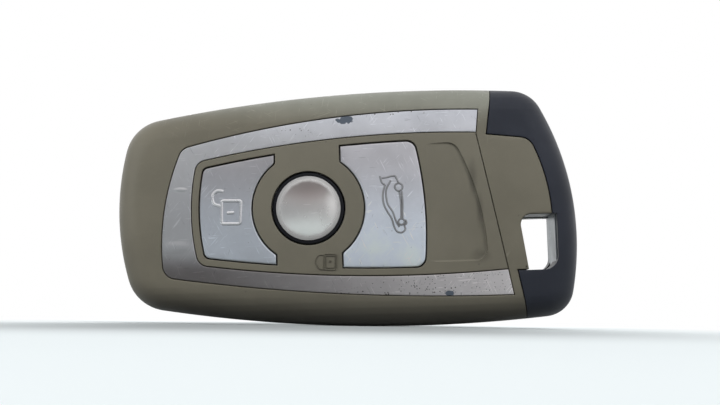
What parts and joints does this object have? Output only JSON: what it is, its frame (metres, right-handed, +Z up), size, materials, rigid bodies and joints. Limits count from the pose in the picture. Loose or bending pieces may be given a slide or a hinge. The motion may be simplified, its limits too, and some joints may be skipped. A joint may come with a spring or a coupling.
{
  "type": "car key fob",
  "caption": "Car remote key fob with three push buttons in a metal trim, a dark end cap with a ring eye, a slide-out emergency key and a tilting battery cover.",
  "frame": {"origin": "centre of the bounding box at the ground on which the fob stands on its long edge", "axes": "+X along the fob towards its end cap, +Y from the button side to the back, +Z up"},
  "size_m": [0.0858, 0.0142, 0.0449],
  "materials": {
    "body_plastic": "satin",
    "satin_silver": "satin",
    "button_silver": "satin",
    "ring_black": "gloss",
    "dome_silver": "polished",
    "cap_dark": "satin",
    "core_metal": "satin",
    "blade_steel": "satin",
    "silicone": "matte",
    "board_green": "satin",
    "chip_black": "matte",
    "crystal_can": "satin",
    "switch_body": "satin",
    "plunger_white": "satin",
    "coil_block": "satin",
    "winding": "satin",
    "ferrite": "matte",
    "cell_can": "satin",
    "contact_plate": "satin",
    "carrier_plastic": "satin",
    "leaf_steel": "satin",
    "catch_plastic": "matte"
  },
  "bodies": {
    "case": {"antenna_coil": "coil_block", "boot_switch": "switch_body", "button_panel": "body_plastic", "carrier": "carrier_plastic", "circuit_board": "board_green", "coin_cell": "cell_can", "contact_negative": "contact_plate", "contact_positive": "contact_plate", "controller_chip": "chip_black", "crystal": "crystal_can", "ferrite_rod": "ferrite", "front_case": "body_plastic", "immobiliser_winding": "winding", "keypad_mat": "silicone", "latch_leaf": "leaf_steel", "lock_switch": "switch_body", "radio_chip": "chip_black", "rear_case": "body_plastic", "trim": "satin_silver", "unlock_switch": "switch_body"},
    "unlock_key": {"unlock_button": "button_silver", "unlock_plunger": "plunger_white"},
    "lock_key": {"lock_button": "ring_black", "lock_disc": "dome_silver", "lock_plunger": "plunger_white"},
    "boot_key": {"boot_button": "button_silver", "boot_plunger": "plunger_white"},
    "catch": {"release_catch": "catch_plastic"},
    "emergency_key": {"bow_cap": "cap_dark", "bow_core": "core_metal", "key_blade": "blade_steel", "blade_pin": "leaf_steel"},
    "cover": {"battery_cover": "body_plastic"}
  },
  "joints": [
    {"name": "unlock_press", "type": "slide", "parent": "case", "child": "unlock_key", "axis": [0, 1, 0], "range_m": [0, 0.0005], "stiffness_N_per_m": 1500, "springref_m": -0.001, "deforming": ["keypad_mat"]},
    {"name": "lock_press", "type": "slide", "parent": "case", "child": "lock_key", "axis": [0, 1, 0], "range_m": [0, 0.0005], "stiffness_N_per_m": 1500, "springref_m": -0.001, "deforming": ["keypad_mat"]},
    {"name": "boot_press", "type": "slide", "parent": "case", "child": "boot_key", "axis": [0, 1, 0], "range_m": [0, 0.0005], "stiffness_N_per_m": 1500, "springref_m": -0.001, "deforming": ["keypad_mat"]},
    {"name": "release_slide", "type": "slide", "parent": "case", "child": "catch", "axis": [0.0454, 0, -0.999], "range_m": [0, 0.002], "stiffness_N_per_m": 600, "springref_m": -0.002, "deforming": ["latch_leaf"]},
    {"name": "key_slide", "type": "slide", "parent": "case", "child": "emergency_key", "axis": [0.999, 0, 0.0454], "range_m": [0, 0.05], "deforming": ["latch_leaf"]},
    {"name": "cover_tilt", "type": "hinge", "parent": "case", "child": "cover", "pos_m": [0.0057, 0.00705, 0.01671], "axis": [0.0454, 0, -0.999], "range_deg": [0, 50]}
  ]
}
